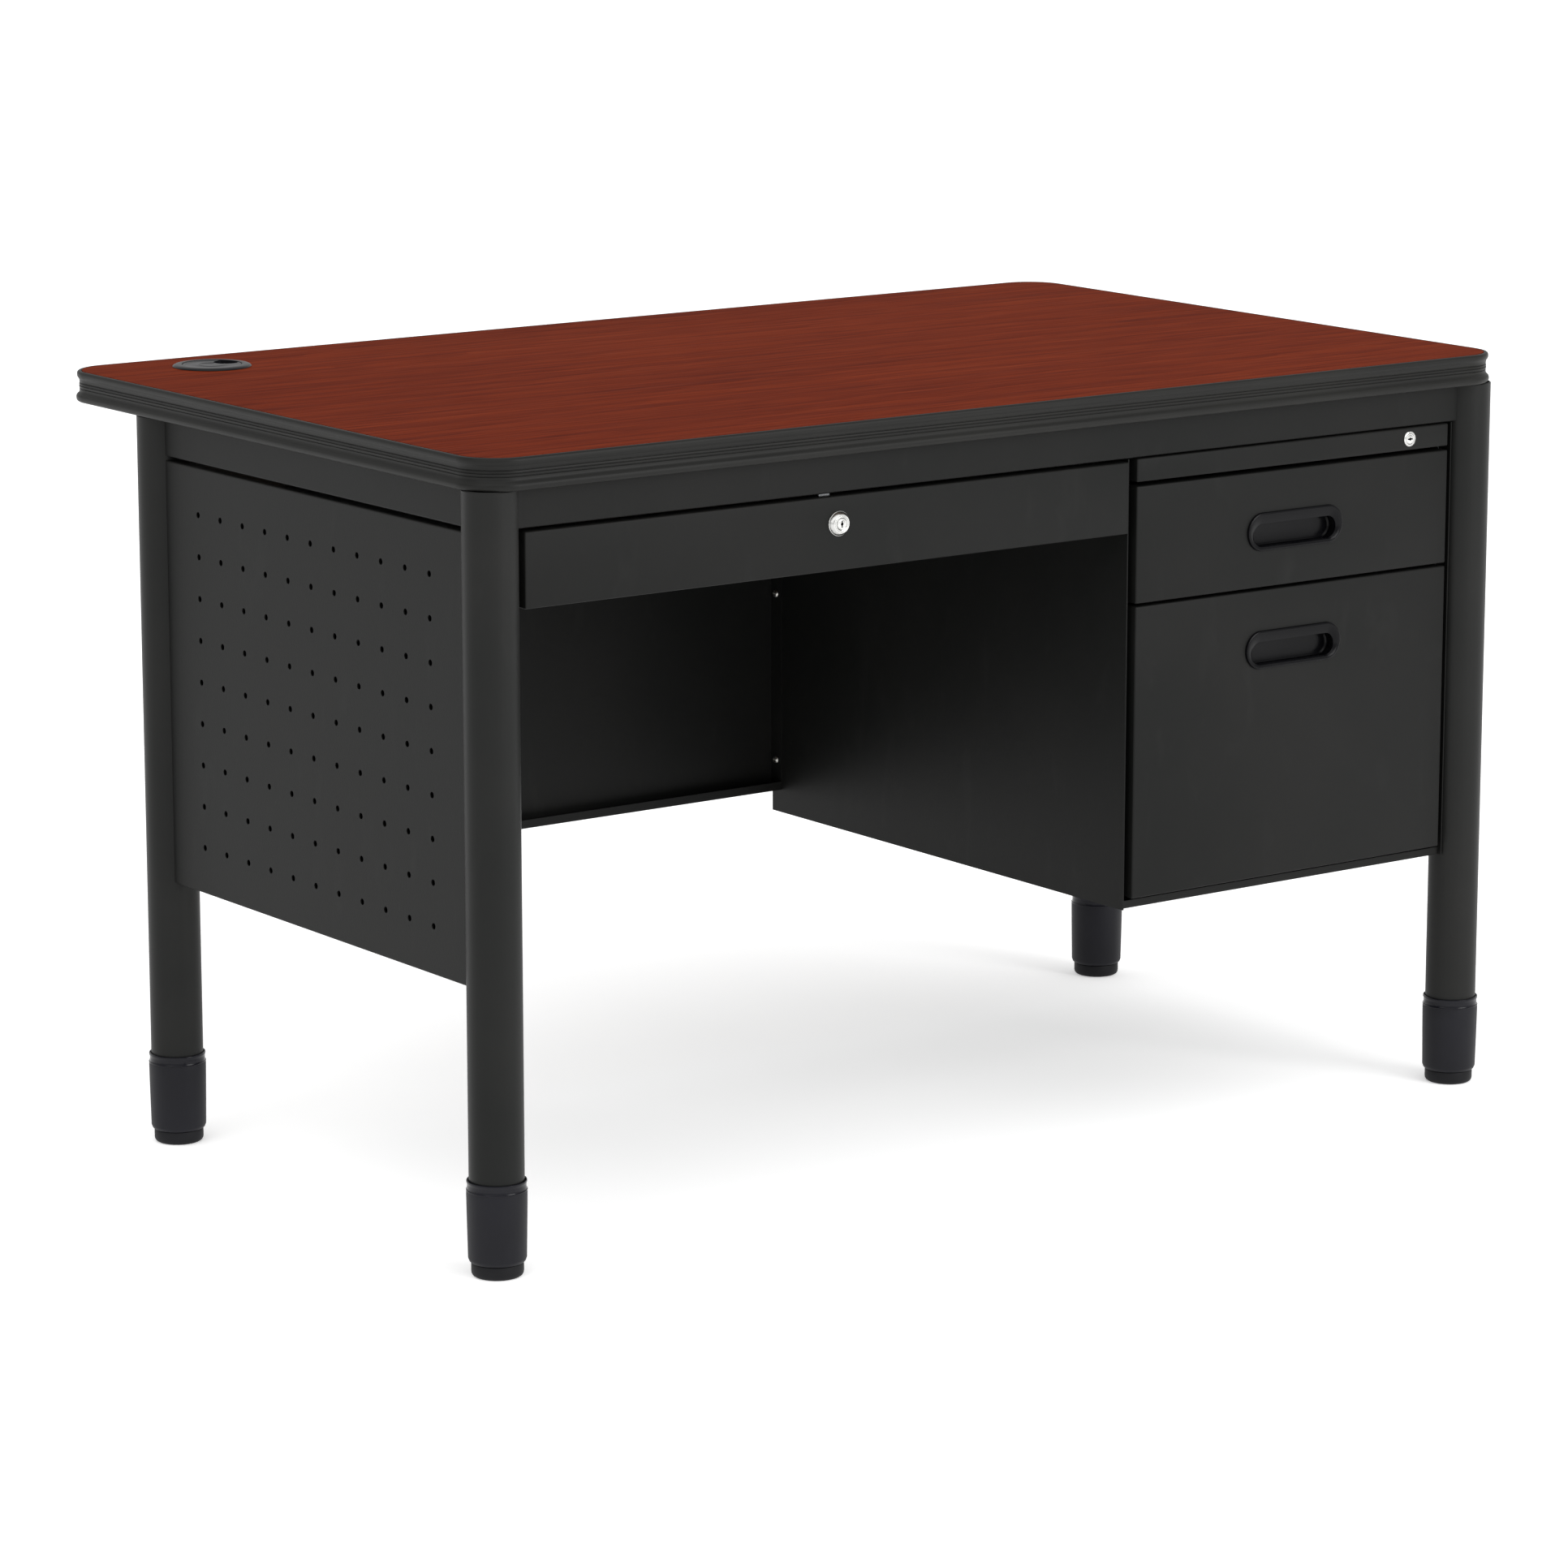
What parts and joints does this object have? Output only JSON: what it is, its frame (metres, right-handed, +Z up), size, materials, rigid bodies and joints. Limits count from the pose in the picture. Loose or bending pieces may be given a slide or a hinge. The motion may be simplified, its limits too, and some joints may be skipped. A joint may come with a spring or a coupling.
{
  "type": "teacher desk",
  "caption": "Single-pedestal steel desk with a rounded wood-grain laminate top, round legs, perforated end panels, a centre drawer and a locking drawer pedestal.",
  "frame": {"origin": "on the floor under the centre of the desktop", "axes": "+X to the right of the person seated at the desk (the long way of the top), -Y towards that person (the drawer side), +Z up"},
  "size_m": [1.2192, 0.7494, 0.7518],
  "materials": {
    "cherry_laminate": "satin printed wood-grain laminate",
    "particle_board": "raw pressed board",
    "backer_sheet": "matt phenolic sheet",
    "vinyl_edge": "soft satin vinyl",
    "black_powder_coat": "fine satin powder coat",
    "sleeve_plastic": "fine ribbed moulding",
    "foot_plastic": "moulded",
    "pull_plastic": "satin moulding",
    "grommet_plastic": "satin moulding",
    "chrome_lock": "bright plated",
    "zinc_steel": "zinc plated",
    "plated_screw": "zinc plated"
  },
  "bodies": {
    "desk": {"box_slide_cabinet_members": "zinc_steel", "centre_slide_hangers": "zinc_steel", "desktop_backer_sheet": "backer_sheet", "desktop_core": "particle_board", "desktop_laminate": "cherry_laminate", "desktop_screws": "plated_screw", "edge_band": "vinyl_edge", "end_panel_liners": "black_powder_coat", "file_slide_cabinet_members": "zinc_steel", "front_apron": "black_powder_coat", "grommet_ring": "grommet_plastic", "left_apron": "black_powder_coat", "left_end_panel": "black_powder_coat", "leg_front_left": "black_powder_coat", "leg_front_right": "black_powder_coat", "leg_rear_left": "black_powder_coat", "leg_rear_right": "black_powder_coat", "leg_sleeve_front_left": "sleeve_plastic", "leg_sleeve_front_right": "sleeve_plastic", "leg_sleeve_rear_left": "sleeve_plastic", "leg_sleeve_rear_right": "sleeve_plastic", "leg_threaded_inserts": "sleeve_plastic", "lock_rail": "black_powder_coat", "modesty_panel": "black_powder_coat", "modesty_panel_screws": "plated_screw", "pedestal_back": "black_powder_coat", "pedestal_bottom_pan": "black_powder_coat", "pedestal_left_side": "black_powder_coat", "pedestal_lock_housing": "chrome_lock", "pedestal_right_side": "black_powder_coat", "rear_apron": "black_powder_coat", "right_apron": "black_powder_coat", "right_end_panel": "black_powder_coat"},
    "centre_drawer": {"centre_drawer_front": "black_powder_coat", "centre_drawer_tray": "black_powder_coat", "centre_drawer_tray_ends": "black_powder_coat", "centre_drawer_runners": "zinc_steel", "centre_lock_collar": "chrome_lock"},
    "centre_lock": {"centre_lock_plug": "chrome_lock"},
    "centre_bolt": {"centre_lock_bolt": "zinc_steel"},
    "box_drawer": {"box_drawer_front": "black_powder_coat", "box_drawer_tray": "black_powder_coat", "box_drawer_tray_ends": "black_powder_coat", "box_drawer_pull": "pull_plastic", "box_slide_drawer_members": "zinc_steel"},
    "box_slide": {"box_slide_middle_members": "zinc_steel"},
    "file_drawer": {"file_drawer_front": "black_powder_coat", "file_drawer_tray": "black_powder_coat", "file_drawer_tray_ends": "black_powder_coat", "file_drawer_pull": "pull_plastic", "file_drawer_hanging_rails": "zinc_steel", "file_slide_drawer_members": "zinc_steel"},
    "file_slide": {"file_slide_middle_members": "zinc_steel"},
    "pedestal_lock": {"pedestal_lock_plug": "chrome_lock"},
    "lock_bar": {"pedestal_lock_bar": "zinc_steel"},
    "grommet_lid": {"grommet_cap": "grommet_plastic"},
    "foot_front_left": {"levelling_foot_front_left": "foot_plastic"},
    "foot_front_right": {"levelling_foot_front_right": "foot_plastic"},
    "foot_rear_left": {"levelling_foot_rear_left": "foot_plastic"},
    "foot_rear_right": {"levelling_foot_rear_right": "foot_plastic"}
  },
  "joints": [
    {"name": "centre_drawer_slide", "type": "slide", "parent": "desk", "child": "centre_drawer", "axis": [0, -1, 0], "range_m": [0, 0.3]},
    {"name": "centre_lock_turn", "type": "hinge", "parent": "centre_drawer", "child": "centre_lock", "pos_m": [-0.2086, -0.358, 0.654], "axis": [0, 1, 0], "range_deg": [0, 90]},
    {"name": "centre_bolt_lift", "type": "slide", "parent": "centre_drawer", "child": "centre_bolt", "axis": [0, 0, 1], "range_m": [0, 0.006]},
    {"name": "box_drawer_slide", "type": "slide", "parent": "desk", "child": "box_drawer", "axis": [0, -1, 0], "range_m": [0, 0.4]},
    {"name": "box_middle_slide", "type": "slide", "parent": "desk", "child": "box_slide", "axis": [0, -1, 0], "range_m": [0, 0.2]},
    {"name": "file_drawer_slide", "type": "slide", "parent": "desk", "child": "file_drawer", "axis": [0, -1, 0], "range_m": [0, 0.4]},
    {"name": "file_middle_slide", "type": "slide", "parent": "desk", "child": "file_slide", "axis": [0, -1, 0], "range_m": [0, 0.2]},
    {"name": "pedestal_lock_turn", "type": "hinge", "parent": "desk", "child": "pedestal_lock", "pos_m": [0.4955, -0.358, 0.6703], "axis": [0, -1, 0], "range_deg": [0, 90]},
    {"name": "lock_bar_lift", "type": "slide", "parent": "desk", "child": "lock_bar", "axis": [0, 0, 1], "range_m": [0, 0.006]},
    {"name": "grommet_cap_lift", "type": "slide", "parent": "desk", "child": "grommet_lid", "axis": [0, 0, 1], "range_m": [0, 0.03]},
    {"name": "foot_front_left_level", "type": "slide", "parent": "desk", "child": "foot_front_left", "axis": [0, 0, -1], "range_m": [0, 0.012]},
    {"name": "foot_front_right_level", "type": "slide", "parent": "desk", "child": "foot_front_right", "axis": [0, 0, -1], "range_m": [0, 0.012]},
    {"name": "foot_rear_left_level", "type": "slide", "parent": "desk", "child": "foot_rear_left", "axis": [0, 0, -1], "range_m": [0, 0.012]},
    {"name": "foot_rear_right_level", "type": "slide", "parent": "desk", "child": "foot_rear_right", "axis": [0, 0, -1], "range_m": [0, 0.012]}
  ],
  "couplings": [
    {"joint": "centre_bolt_lift", "follows": "centre_lock_turn", "m_per_rad": 0.0038197},
    {"joint": "lock_bar_lift", "follows": "pedestal_lock_turn", "m_per_rad": 0.0038197},
    {"joint": "box_middle_slide", "follows": "box_drawer_slide", "ratio": 0.5},
    {"joint": "file_middle_slide", "follows": "file_drawer_slide", "ratio": 0.5}
  ]
}
